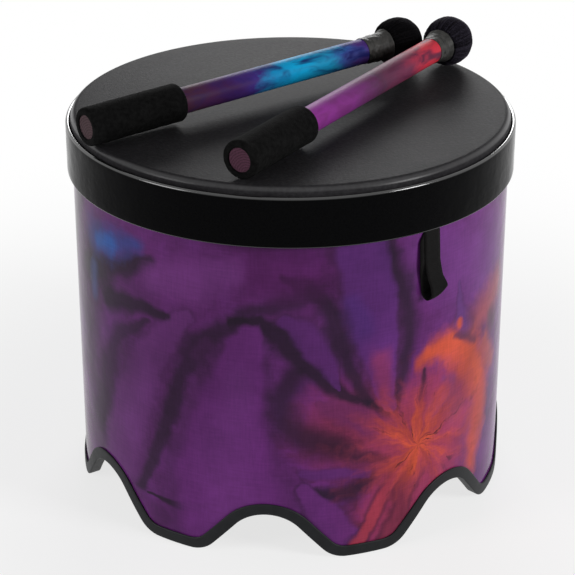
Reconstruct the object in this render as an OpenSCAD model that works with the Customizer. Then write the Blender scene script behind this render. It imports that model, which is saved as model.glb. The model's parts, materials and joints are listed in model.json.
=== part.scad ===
// Gathering drum: a scalloped fibre shell, a lift-off head cap with a pull loop, and two mallets.
// Millimetres, +Z up. The origin is on the drum's axis at the floor, with a foot at the front (-Y).
// Angles round the drum are counted from the front, towards +X.

/* [Shell] */
// Outside diameter of the fibre tube
tube_d = 303.8; // [200:0.2:420]
// Wall of the fibre tube
tube_wall = 5; // [4:0.5:8]
// Height of the tube's top edge above the floor
tube_top = 258.8; // [180:0.2:360]
// Thickness of the cloth wrap round the tube
wrap_t = 0.7; // [0.4:0.1:1.5]

/* [Scallops] */
// Number of feet, and of arches between them
foot_count = 7; // [5:1:8]
// Height of an arch above the floor
arch_h = 35.4; // [30:0.2:50]
// Radius of an arch's top
arch_r = 29; // [26:0.5:34]
// Radius of a foot's corners
foot_r = 22; // [16:0.5:24]
// Width of the flat under a foot
foot_flat_w = 24.8; // [20:0.2:34]

/* [Edge trim] */
// Thickness of the rubber under the tube's edge
trim_web_t = 2; // [1.5:0.1:3]
// Thickness of the rubber's two legs
trim_leg_t = 1.4; // [1:0.1:2.5]
// Height of the trim, from its sole to the edge of its legs
trim_h = 8.3; // [6:0.1:12]

/* [Head] */
// Thickness of the skin
skin_t = 0.8; // [0.5:0.1:1.5]
// Radius of the skin's shoulder
shoulder_r = 5; // [3.5:0.1:6]
// Height of the skin above the hoop's rim
skin_rise = 5.8; // [4:0.1:8]
// How far the skin's skirt stops above the flesh hoop's underside
skirt_up = 1; // [0.5:0.1:3]
// Width of the flesh hoop
flesh_w = 8; // [6.5:0.5:11]
// Height of the flesh hoop
flesh_h = 13; // [11:0.5:16]
// Thickness of the gasket between the flesh hoop and the tube
gasket_t = 2; // [1:0.1:4]

/* [Hoop] */
// Wall of the hoop at its rim
hoop_wall = 3.2; // [2.8:0.1:4]
// Wall of the hoop's lip, which goes over the shell
lip_wall = 2.2; // [1.6:0.1:2.6]
// Height of the hoop
hoop_h = 34.6; // [28:0.2:48]
// Radius of the lip's lower outer edge
lip_edge_r = 0.8; // [0.3:0.1:1]
// Height of the felt strip inside the lip
felt_h = 16; // [8:0.5:17]
// How far the felt strip lies above the lip's lower edge
felt_up = 4; // [2:0.5:5]

/* [Pull loop] */
// Angle of the pull loop round the drum
loop_angle = 17; // [10:1:25]
// Width of the ribbon
ribbon_w = 12.7; // [9:0.1:20]
// Thickness of the ribbon
ribbon_t = 0.6; // [0.4:0.05:0.8]
// Length of the ribbon's tails inside the lip
tail_l = 20; // [10:0.5:22]
// Gap between a tail's end and the felt strip
tail_side_gap = 0.8; // [0.4:0.1:2]
// Length of the doubled ribbon, from the hoop to where its legs part
loop_stem_l = 26; // [18:0.5:36]
// Length of the open loop, from the parting to the middle of its bend
loop_open_l = 14; // [10:0.5:22]
// Lean of the doubled ribbon, away from the drum
loop_lean = 12.5; // [10:0.5:16]
// Radius of the bend at the loop's bottom
loop_bend_r = 6.7; // [5.5:0.1:7.5]

/* [Mallets] */
// Length of a mallet, from its butt to the middle of its head
mallet_l = 268.8; // [220:0.2:340]
// Diameter of the dowel
dowel_d = 17.1; // [12:0.1:18]
// Thickness of the wrap on the shaft
shaft_wrap_t = 0.4; // [0.2:0.1:0.8]
// Diameter of the foam grip
grip_d = 26.6; // [24:0.2:32]
// Length of the foam grip
grip_l = 73.4; // [60:0.2:130]
// Radius of the grip's edges
grip_edge_r = 1.6; // [0.8:0.1:2]
// Diameter of the mallet's head
head_d = 36; // [34:0.2:44]
// Diameter of the core in the head
core_d = 27; // [24:0.5:28]
// How far the dowel reaches past the middle of the head
dowel_reach = 4; // [2:0.5:6]
// Wall of the cover's neck, under the tape
neck_wall = 0.8; // [0.6:0.1:1]
// Length of the cover's neck that the tape holds
neck_l = 5; // [4:0.5:7]
// Distance from the tape's far end to the middle of the head
tape_to_middle = 13; // [11:0.5:14]
// Length of the tape on the left mallet
left_tape_l = 21.5; // [14:0.5:28]
// Length of the tape on the right mallet
right_tape_l = 13.5; // [10:0.5:20]
// Thickness of the tape at its thin end
tape_t = 0.6; // [0.4:0.1:1]
// Diameter of the tape at the head
tape_end_d = 22; // [21.4:0.2:24]
// How far the middle of the right mallet's head lies inside the skin's edge
right_head_in = 10; // [4:0.5:40]
// Angle of the right mallet's head round the drum
right_head_angle = 106.6; // [80:0.1:120]
// Direction of the right mallet, from its butt to its head
right_heading = 37; // [20:0.5:60]
// Angle between the two mallets
mallet_spread = 19; // [5:0.5:40]
// Gap between the two mallets' heads
heads_gap = 0.9; // [0.5:0.1:10]
// Angle from the right mallet's shaft to the left mallet's head, seen from the right mallet's head
heads_angle = 53.9; // [52:0.1:80]

/* [Clearances] */
// Glue line between bonded pieces
glue = 0.1; // [0.05:0.05:0.2]
// Gap between the shell and what slides over it
slide_gap = 0.3; // [0.3:0.05:0.6]
// Gap between the gasket and the tube's edge
seat_gap = 0.2; // [0.1:0.05:0.4]
// Gap between the skin and what lies on it
rest_gap = 0.3; // [0.2:0.05:0.5]
// Gap between the hoop and the pull loop that swings under it
swing_gap = 0.4; // [0.3:0.05:0.8]

/* [Hidden] */
$fn = 96;

// How far a cut runs past what it cuts
past = 5;
// How far one arch's outline laps over the next, at the middle of a foot
foot_lap = 1;
// How far the edge of the trim's legs rises towards the middle of a foot
leg_rise = 0.1;
// Most degrees in one step of a round stretch of an outline
arc_step = 7;

// Radii of the shell, from the inside out
tube_r = tube_d / 2;
tube_in_r = tube_r - tube_wall;
wrap_in_r = tube_r + glue;
wrap_r = wrap_in_r + wrap_t;
trim_slot_r = wrap_r + glue;
trim_slot_in_r = tube_in_r - glue;
trim_r = trim_slot_r + trim_leg_t;
trim_in_r = trim_slot_in_r - trim_leg_t;

// A step of one, in a direction
function way(angle) = [cos(angle), sin(angle)];

// Scallop outline at the trim's sole, seen square to the wall, with x = 0 at the middle of an arch
foot_step = 360 / foot_count;
arch_middle = [0, arch_h - arch_r];
foot_middle = [trim_r * sin(foot_step / 2) - foot_flat_w / 2, foot_r];
flank_run = foot_middle - arch_middle;
flank_turn = atan2(flank_run.y, flank_run.x) + acos((arch_r + foot_r) / norm(flank_run));
edge_reach = trim_r * sin(foot_step / 2) + foot_lap;
edge_near = trim_in_r * cos(foot_step / 2) - past;

// Radii and heights of the head cap
felt_in_r = wrap_r + slide_gap;
felt_t = 2 * ribbon_t;
lip_in_r = felt_in_r + felt_t + glue;
hoop_r = lip_in_r + lip_wall;
hoop_in_r = hoop_r - hoop_wall;
skin_r = hoop_in_r - glue;
flesh_r = skin_r - skin_t - glue;
gasket_z = tube_top + seat_gap;
flesh_z = gasket_z + gasket_t + glue;
flesh_top = flesh_z + flesh_h;
skin_top = flesh_top + glue + skin_t;
rim_z = skin_top - skin_rise;
lip_z = rim_z - hoop_h;

// Pull loop, in the plane through the drum's axis: x is the distance from the axis, y the height
swing_at = [felt_in_r + ribbon_t, lip_z - swing_gap - ribbon_t];
loop_fork = swing_at + loop_stem_l * way(loop_lean - 90);
loop_bend = [wrap_r + slide_gap + loop_bend_r, loop_fork.y - loop_open_l];
loop_run = loop_bend - loop_fork;
loop_turn = atan2(loop_run.y, loop_run.x);
loop_side = acos((ribbon_t - loop_bend_r) / norm(loop_run));

// Mallets, along their own axis from the butt
shaft_r = dowel_d / 2 + glue + shaft_wrap_t;
bore_r = shaft_r + glue;
neck_r = bore_r + neck_wall;
tape_far = mallet_l - tape_to_middle;
neck_z = tape_far - neck_l;
mallet_tilt = asin((head_d - grip_d) / 2 / mallet_l);

// Places of the two mallets' heads on the skin
right_head = (skin_r - right_head_in) * way(right_head_angle - 90);
left_head = right_head + (head_d + heads_gap) * way(right_heading + 180 - heads_angle);

// Points along a round stretch of an outline
function arc(middle, r, from, to) =
    let (steps = ceil(abs(to - from) / arc_step))
    [for (i = [0:steps]) middle + r * way(from + (to - from) * i / steps)];

// Half section of a round cap: a flat top, a round shoulder and a straight side
module cap_section(r, top, bottom, corner) {
    translate([0, bottom]) square([r - corner, top - bottom]);
    translate([0, bottom]) square([r, top - corner - bottom]);
    translate([r - corner, top - corner]) circle(corner);
}

// Section of a ring
module ring_section(in_r, out_r, bottom, top) {
    translate([in_r, bottom]) square([out_r - in_r, top - bottom]);
}

module ring(in_r, out_r, bottom, top) {
    rotate_extrude() ring_section(in_r, out_r, bottom, top);
}

// The lower edge from one foot to the next, moved up into the wall by a distance. Its ends may rise,
// so that the lines of two arches cross over the middle of the foot between them
function edge_line(up, end_rise = 0) = concat(
    [[-edge_reach, up + end_rise]],
    arc([-foot_middle.x, foot_middle.y], foot_r - up, -90, -flank_turn),
    arc(arch_middle, arch_r + up, 180 - flank_turn, flank_turn),
    arc(foot_middle, foot_r - up, 180 + flank_turn, 270),
    [[edge_reach, up + end_rise]]);

// An outline seen square to the wall, run through the wall at the front
module through_wall() {
    rotate([90, 0, 0]) translate([0, 0, edge_near]) linear_extrude(trim_r + past - edge_near) children();
}

// All that lies between the scalloped edge, moved up into the wall by a distance, and a height
module beyond_edge(up, height, end_rise = 0) {
    for (i = [0:foot_count - 1])
        rotate([0, 0, (i + 0.5) * foot_step])
            through_wall()
                polygon(concat(edge_line(up, end_rise), [[edge_reach, height], [-edge_reach, height]]));
}

module under_edge(up) {
    beyond_edge(up, -2 * past);
}

module shell_tube() {
    color("tan") difference() {
        ring(tube_in_r, tube_r, 0, tube_top);
        under_edge(trim_web_t + glue);
    }
}

module shell_wrap() {
    color("rebeccapurple") difference() {
        ring(wrap_in_r, wrap_r, 0, tube_top);
        under_edge(trim_web_t + glue);
    }
}

// The trim is a channel that follows the tube's edge: a web under it, and a leg on each side
module foot_trim() {
    trim_top = arch_h + trim_h + past;
    color("#23272a") difference() {
        ring(trim_in_r, trim_r, -past, trim_top);
        under_edge(0);
        beyond_edge(trim_h, trim_top + past, leg_rise);
        difference() {
            ring(trim_slot_in_r, trim_slot_r, -past, trim_top + past);
            under_edge(trim_web_t);
        }
    }
}

// The hoop is thick at its rounded rim, and thinner at the lip that goes over the shell
module hoop() {
    rim_r = hoop_wall / 2;
    color("#0c0c0d") rotate_extrude() {
        ring_section(hoop_in_r, hoop_r, gasket_z, rim_z - rim_r);
        translate([hoop_r - rim_r, rim_z - rim_r]) circle(rim_r);
        ring_section(lip_in_r, hoop_r, lip_z + lip_edge_r, gasket_z);
        ring_section(lip_in_r, hoop_r - lip_edge_r, lip_z, lip_z + lip_edge_r);
        translate([hoop_r - lip_edge_r, lip_z + lip_edge_r]) circle(lip_edge_r);
    }
}

module head_skin() {
    skirt_z = flesh_z + skirt_up;
    color("#434143") rotate_extrude() difference() {
        cap_section(skin_r, skin_top, skirt_z, shoulder_r);
        cap_section(skin_r - skin_t, skin_top - skin_t, skirt_z - past, shoulder_r - skin_t);
    }
}

module flesh_hoop() {
    color("burlywood") rotate_extrude() difference() {
        cap_section(flesh_r, flesh_top, flesh_z, shoulder_r - skin_t - glue);
        translate([0, flesh_z - past]) square([flesh_r - flesh_w, flesh_h + 2 * past]);
    }
}

module rim_gasket() {
    color("dimgray") ring(tube_in_r, tube_r, gasket_z, gasket_z + gasket_t);
}

// A block of the ribbon's width, at the loop's angle, that reaches through the hoop
module ribbon_block(width, bottom, top) {
    rotate([0, 0, loop_angle])
        translate([-width / 2, -hoop_r - past, bottom]) cube([width, hoop_r - tube_in_r + past, top - bottom]);
}

// The felt is cut through where the ribbon's tails lie
module hoop_felt() {
    felt_z = lip_z + felt_up;
    color("slategray") difference() {
        ring(felt_in_r, lip_in_r - glue, felt_z, felt_z + felt_h);
        ribbon_block(ribbon_w + 2 * tail_side_gap, felt_z - past, felt_z + felt_h + past);
    }
}

module loop_tails() {
    color("#1d1c1c") intersection() {
        ring(felt_in_r, lip_in_r - glue, lip_z, lip_z + tail_l);
        ribbon_block(ribbon_w, lip_z - past, lip_z + tail_l + past);
    }
}

// The corner where the doubled ribbon's side meets the side of the open loop
function fork_corner(stem_side, open_side) =
    loop_fork + ribbon_t / cos((stem_side - open_side) / 2) * way((stem_side + open_side) / 2);

// The ribbon's two legs hang together from the hoop and part into a round loop
module pull_loop() {
    outer_side = loop_turn + loop_side;
    inner_side = loop_turn - loop_side + 360;
    color("#1d1c1c") rotate([90, 0, loop_angle - 90]) translate([0, 0, -ribbon_w / 2]) linear_extrude(ribbon_w)
        difference() {
            polygon(concat(
                arc(swing_at, ribbon_t, loop_lean, loop_lean + 180),
                [fork_corner(loop_lean + 180, inner_side)],
                arc(loop_bend, loop_bend_r, inner_side, outer_side + 360),
                [fork_corner(loop_lean, outer_side)]));
            polygon(concat([loop_fork],
                arc(loop_bend, loop_bend_r - ribbon_t, inner_side, outer_side + 360)));
        }
}

// Lays a mallet, made along +Z from its butt, on the skin
module lay(head, heading) {
    translate([head.x, head.y, skin_top + rest_gap + head_d / 2])
        rotate([0, 90 - mallet_tilt, heading])
            translate([0, 0, -mallet_l]) children();
}

module lay_left() {
    lay(left_head, right_heading - mallet_spread) children();
}

module lay_right() {
    lay(right_head, right_heading) children();
}

module dowel() {
    color("#6b4c58") cylinder(d = dowel_d, h = mallet_l + dowel_reach);
}

module shaft_wrap() {
    color("purple") ring(dowel_d / 2 + glue, shaft_r, 0, tape_far);
}

module grip() {
    edge_at = grip_d / 2 - grip_edge_r;
    color("#1c1c1c") rotate_extrude() {
        ring_section(bore_r, edge_at, 0, grip_l);
        ring_section(bore_r, grip_d / 2, grip_edge_r, grip_l - grip_edge_r);
        for (z = [grip_edge_r, grip_l - grip_edge_r]) translate([edge_at, z]) circle(grip_edge_r);
    }
}

module head_core() {
    color("saddlebrown") difference() {
        translate([0, 0, mallet_l]) sphere(d = core_d);
        cylinder(d = dowel_d + 2 * glue, h = mallet_l + dowel_reach + glue);
    }
}

// A puffy ball with a short neck that the tape holds to the shaft
module head_cover() {
    color("#141414") difference() {
        union() {
            translate([0, 0, mallet_l]) sphere(d = head_d);
            translate([0, 0, neck_z]) cylinder(r = neck_r, h = mallet_l - neck_z);
        }
        translate([0, 0, mallet_l]) sphere(d = core_d + 2 * glue);
        cylinder(r = bore_r, h = mallet_l);
    }
}

// Tape wound from the shaft up over the cover's neck, wider towards the head
module neck_tape(tape_l) {
    start = tape_far - tape_l;
    color("#3d3d3c") difference() {
        rotate_extrude() polygon([[bore_r, start], [bore_r + tape_t, start],
            [tape_end_d / 2, tape_far], [bore_r, tape_far]]);
        translate([0, 0, neck_z - glue]) cylinder(r = neck_r + glue, h = neck_l + past);
        translate([0, 0, mallet_l]) sphere(d = head_d + 2 * glue);
    }
}

shell_tube();
shell_wrap();
foot_trim();
hoop();
head_skin();
flesh_hoop();
rim_gasket();
hoop_felt();
loop_tails();
pull_loop();
lay_left() dowel();  // left_dowel
lay_left() shaft_wrap();  // left_shaft_wrap
lay_left() grip();  // left_grip
lay_left() head_core();  // left_head_core
lay_left() head_cover();  // left_head_cover
lay_left() neck_tape(left_tape_l);  // left_neck_tape
lay_right() dowel();  // right_dowel
lay_right() shaft_wrap();  // right_shaft_wrap
lay_right() grip();  // right_grip
lay_right() head_core();  // right_head_core
lay_right() head_cover();  // right_head_cover
lay_right() neck_tape(right_tape_l);  // right_neck_tape
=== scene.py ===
import json
import math
from functools import partial

import bpy
from mathutils import Matrix, Vector, noise


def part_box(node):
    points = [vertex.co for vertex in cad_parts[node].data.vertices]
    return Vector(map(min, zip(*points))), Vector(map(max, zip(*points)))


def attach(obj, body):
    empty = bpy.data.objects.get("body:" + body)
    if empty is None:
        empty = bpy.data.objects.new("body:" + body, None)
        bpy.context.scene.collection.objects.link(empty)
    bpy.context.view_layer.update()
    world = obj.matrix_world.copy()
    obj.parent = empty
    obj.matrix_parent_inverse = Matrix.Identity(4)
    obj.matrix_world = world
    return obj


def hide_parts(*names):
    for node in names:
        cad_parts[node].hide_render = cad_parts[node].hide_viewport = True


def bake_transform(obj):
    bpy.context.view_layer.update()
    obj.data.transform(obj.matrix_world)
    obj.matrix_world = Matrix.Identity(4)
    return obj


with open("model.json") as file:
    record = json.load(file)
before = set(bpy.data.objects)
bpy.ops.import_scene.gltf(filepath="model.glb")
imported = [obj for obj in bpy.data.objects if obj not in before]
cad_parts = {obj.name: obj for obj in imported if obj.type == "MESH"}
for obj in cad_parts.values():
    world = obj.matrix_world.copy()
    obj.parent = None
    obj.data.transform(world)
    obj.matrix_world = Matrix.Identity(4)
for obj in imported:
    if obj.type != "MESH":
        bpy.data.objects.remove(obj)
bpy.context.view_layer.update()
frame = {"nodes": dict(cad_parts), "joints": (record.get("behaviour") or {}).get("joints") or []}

# Lengths are in millimetres unless a line says otherwise, and MM turns them to metres.
# The drum's axis is Z, and angles round it are counted from the front (-Y) towards +X.
MM = 0.001
FULL_TURN = 2 * math.pi

# Places and sizes of the CAD pieces
def corners(node):
    low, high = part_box(node)
    return low / MM, high / MM

WRAP_R, _, WRAP_TOP = corners("shell_wrap")[1]
TRIM_R = corners("foot_trim")[1].x
HOOP_R, _, RIM_Z = corners("hoop")[1]
LIP_Z = corners("hoop")[0].z
SKIN_R, _, SKIN_TOP = corners("head_skin")[1]
SKIRT_Z = corners("head_skin")[0].z
GASKET_Z = corners("rim_gasket")[0].z
TAIL_TOP = corners("loop_tails")[1].z

# Thin sizes that a box doesn't show
WRAP_T = 0.7
WRAP_EDGE = 0.2
GLUE = 0.1
TRIM_H = 8.3
TRIM_WEB = 2.0
TRIM_LEG = 1.4
TRIM_CORNER = 0.9
TUBE_WALL = 5.0
HOOP_WALL = 3.2
LIP_WALL = 2.2
LIP_EDGE_R = 0.8
SKIN_T = 0.8
SHOULDER_R = 5.0

# Scalloped edge: feet and the arches between them
FOOT_COUNT = 7
ARCH_H = 35.4
ARCH_R = 29.0
FOOT_R = 22.0
FOOT_FLAT = 24.8
EDGE_LEVEL = 70.0
SIDES_PER_FOOT = 56
RING_SIDES = FOOT_COUNT * SIDES_PER_FOOT

# Ribbon of the pull loop
LOOP_ANGLE = math.radians(17)
RIBBON_W = 12.7
RIBBON_T = 0.56
RIBBON_STEP = 0.6
RIBBON_STRIPS = 6
STRAND_GAP = 0.04
LOOP_PIVOT = next(joint for joint in frame["joints"] if joint["name"] == "loop_swing")["pos_m"]
LOOP_LEAN = math.radians(4)
LOOP_STEM = 22.0
LOOP_OPEN = 21.5
LOOP_BEND_R = 4.2
LOOP_CLEAR = 0.3
LOOP_TWIST = 0.5
LOOP_TILT = 5.5
LOOP_SWAY = 3.4
LOOP_FAN = 3.5
FAN_FALL = 9

# Mallets, along their own axis from the butt
MALLET_L = 268.8
DOWEL_R = 8.55
SHAFT_R = 9.05
SHAFT_EDGE = 0.15
GRIP_R = 13.3
GRIP_L = 73.4
GRIP_EDGE_R = 2.4
GRIP_LIP_R = 8.2
GRIP_OVERHANG = 1.0
GRIP_DENT = 0.3
HEAD_R = 18.0
HEAD_FULL = 2.3
HEAD_CORE_R = 13.6
HEAD_CLOTH_T = 0.8
HEAD_LUMP = 0.6
GATHER_DEEP = 0.5
GATHER_FAINT = 0.1
GATHER_FADE = 14
TAPE_FAR = 255.8
TAPE_LENGTH = {"left": 21.5, "right": 13.5}
TAPE_T = 0.6
TAPE_END_R = 10.6
TAPE_LIP_R = 12.3
TAPE_FLARE = 4
TAPE_TURN = 9
TAPE_STEP = 0.3
TAPE_CRINKLE = 0.4
NECK_L = 5.0
MALLET_SIDES = 160


# Modelling helpers

def deselect_all():
    bpy.ops.object.select_all(action="DESELECT")


def arc(middle, radius, start, stop, steps):
    """Points along a round stretch of an outline, from one angle to another in degrees."""
    turns = [math.radians(start + (stop - start) * i / steps) for i in range(steps + 1)]
    return [(middle[0] + radius * math.cos(a), middle[1] + radius * math.sin(a)) for a in turns]


def between(a, b, steps):
    """Points from a towards b, without b itself."""
    return [(a[0] + (b[0] - a[0]) * i / steps, a[1] + (b[1] - a[1]) * i / steps) for i in range(steps)]


def mix(a, b, share):
    return a + (b - a) * share


def ease(value, start, stop):
    """0 before start, 1 after stop, and smooth between them."""
    share = min(1, max(0, (value - start) / (stop - start)))
    return share * share * (3 - 2 * share)


def pick(piece):
    deselect_all()
    piece.select_set(True)
    bpy.context.view_layer.objects.active = piece


def draw_out(step):
    """Extrudes what is selected by a step in millimetres."""
    bpy.ops.mesh.extrude_region_move(TRANSFORM_OT_translate={"value": Vector(step) * MM})


def start_point(name, place):
    """A new piece that is a single point in edit mode: a plane whose corners are merged."""
    deselect_all()
    bpy.ops.mesh.primitive_plane_add(size=MM)
    piece = bpy.context.object
    piece.name = name
    piece.data.name = name
    bpy.ops.object.mode_set(mode="EDIT")
    bpy.ops.mesh.select_all(action="SELECT")
    bpy.ops.mesh.merge(type="CENTER")
    bpy.ops.transform.translate(value=Vector(place) * MM)
    return piece


def finish_mesh(piece, smooth_angle=40):
    """Closes the seams, turns the faces outwards, leaves edit mode and smooths the round faces."""
    bpy.ops.mesh.select_all(action="SELECT")
    bpy.ops.mesh.remove_doubles(threshold=0.005 * MM)
    bpy.ops.mesh.normals_make_consistent(inside=False)
    bpy.ops.object.mode_set(mode="OBJECT")
    bpy.ops.object.shade_smooth_by_angle(angle=math.radians(smooth_angle))
    return piece


def turned(name, outline, sides, closed=True):
    """A piece turned about Z. Its outline of (radius, height) points is drawn by extrusion and then spun."""
    points = list(outline) + ([outline[0]] if closed else [])
    piece = start_point(name, (points[0][0], 0, points[0][1]))
    for near, far in zip(points, points[1:]):
        draw_out((far[0] - near[0], 0, far[1] - near[1]))
    bpy.ops.mesh.select_all(action="SELECT")
    bpy.ops.mesh.remove_doubles(threshold=0.005 * MM)
    bpy.ops.mesh.select_all(action="SELECT")
    bpy.ops.mesh.spin(steps=sides, angle=FULL_TURN, center=(0, 0, 0), axis=(0, 0, 1))
    return finish_mesh(piece)


def reshape(piece, move):
    """Moves every point of a piece: move takes and gives a place in millimetres."""
    for point in piece.data.vertices:
        point.co = move(point.co / MM) * MM
    piece.data.update()


def apply_modifier(piece, kind, **settings):
    pick(piece)
    modifier = piece.modifiers.new(kind.title(), kind)
    for name, value in settings.items():
        setattr(modifier, name, value)
    bpy.ops.object.modifier_apply(modifier=modifier.name)


def lay(piece, place):
    """Puts a piece that was made at the origin in its place, inside its mesh."""
    pick(piece)
    piece.matrix_world = place
    bpy.ops.object.transform_apply(location=True, rotation=True, scale=True)


def fit(piece, material, body, slot, *nodes):
    """Gives a finished piece its material and the body that carries it, and hides the CAD nodes that it stands
    for.
    """
    piece.data.materials.clear()
    piece.data.materials.append(material)
    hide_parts(*nodes)
    if body:
        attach(piece, body)


# Material helpers

# A colour mix has its sockets behind those of its other kinds
MIX_FACTOR, MIX_A, MIX_B = 0, 6, 7
COLOUR_MIX = {"out": 2, "data_type": "RGBA"}
SMOOTH = {"interpolation_type": "SMOOTHSTEP"}
# A wave texture turns through 20 radians in one unit
WAVE_UNIT = FULL_TURN / 20


def srgb(code):
    """A linear colour from a hex value such as #6b2f72."""
    parts = [int(code[i:i + 2], 16) / 255 for i in (1, 3, 5)]
    return (*[c / 12.92 if c <= 0.04045 else ((c + 0.055) / 1.055) ** 2.4 for c in parts], 1)


def per(size):
    """The texture scale at which a pattern repeats every so many millimetres."""
    return 1 / (size * MM)


def add_node(tree, kind, inputs, out=0, stops=(), **settings):
    """Adds a node of a kind, which may have an operation behind it. An input is a value or another node's output,
    and one output of the new node comes back."""
    kind, _, operation = kind.partition(" ")
    node = tree.nodes.new("ShaderNode" + kind)
    if operation:
        node.operation = operation
    for name, value in settings.items():
        setattr(node, name, value)
    for name, value in inputs.items():
        if isinstance(value, bpy.types.NodeSocket):
            tree.links.new(value, node.inputs[name])
        else:
            node.inputs[name].default_value = value
    if stops:
        marks = node.color_ramp.elements
        marks.remove(marks[1])
        marks[0].position, marks[0].color = stops[0][0], srgb(stops[0][1])
        for place, colour in stops[1:]:
            marks.new(place).color = srgb(colour)
    return node.outputs[out] if node.outputs else None


def new_material(name):
    """A material, the function that adds its nodes, and the place on the piece in metres."""
    material = bpy.data.materials.new(name)
    material.use_nodes = True
    material.node_tree.nodes.clear()
    add = partial(add_node, material.node_tree)
    return material, add, add("TexCoord", {}, out="Object")


def finished(material, **sockets):
    """Ends a material in one glossy shader. A socket's name has _ for each space."""
    inputs = {name.replace("_", " "): value for name, value in sockets.items()}
    shader = add_node(material.node_tree, "BsdfPrincipled", inputs)
    add_node(material.node_tree, "OutputMaterial", {"Surface": shader})
    return material


def grained(name, grain, press, stops, relief, texture="TexNoise", **sockets):
    """A material whose colour and relief come from one texture. press makes it finer along Z, and relief is the
    bump's strength and its depth in millimetres."""
    material, add, place = new_material(name)
    pressed = add("Mapping", {"Vector": place, "Scale": (1, 1, press)})
    fibres = add(texture, {"Vector": pressed, **grain})
    colour = add("ValToRGB", {"Fac": fibres}, stops=stops)
    bump = add("Bump", {"Height": fibres, "Strength": relief[0], "Distance": relief[1] * MM})
    return finished(material, Base_Color=colour, Normal=bump, **sockets)


# Tie-dyed cotton, bonded to the tube and lacquered: soft purple petals between dark creases, a burst of
# orange dye with fine spokes, and a thread texture under a clear gloss

SEAM_ANGLE = math.radians(150)
THREAD = 1.3
THREAD_RUN = 14

# Middles of the bursts on the unrolled cloth, and the colours of their spokes from the middle outwards
BURSTS = [
    ((38, 76), [(0.0, "#d8583a"), (0.22, "#bf4a42"), (0.5, "#a63f50"), (1.0, "#8a3558")]),
    ((-392, 118), [(0.0, "#3fb0d2"), (0.22, "#2a86b6"), (0.5, "#2f5c9e"), (1.0, "#463a86")]),
]
BURST_R = 70.0
BURST_SWING = 110.0
CREASE = "#2b1b2f"

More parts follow.
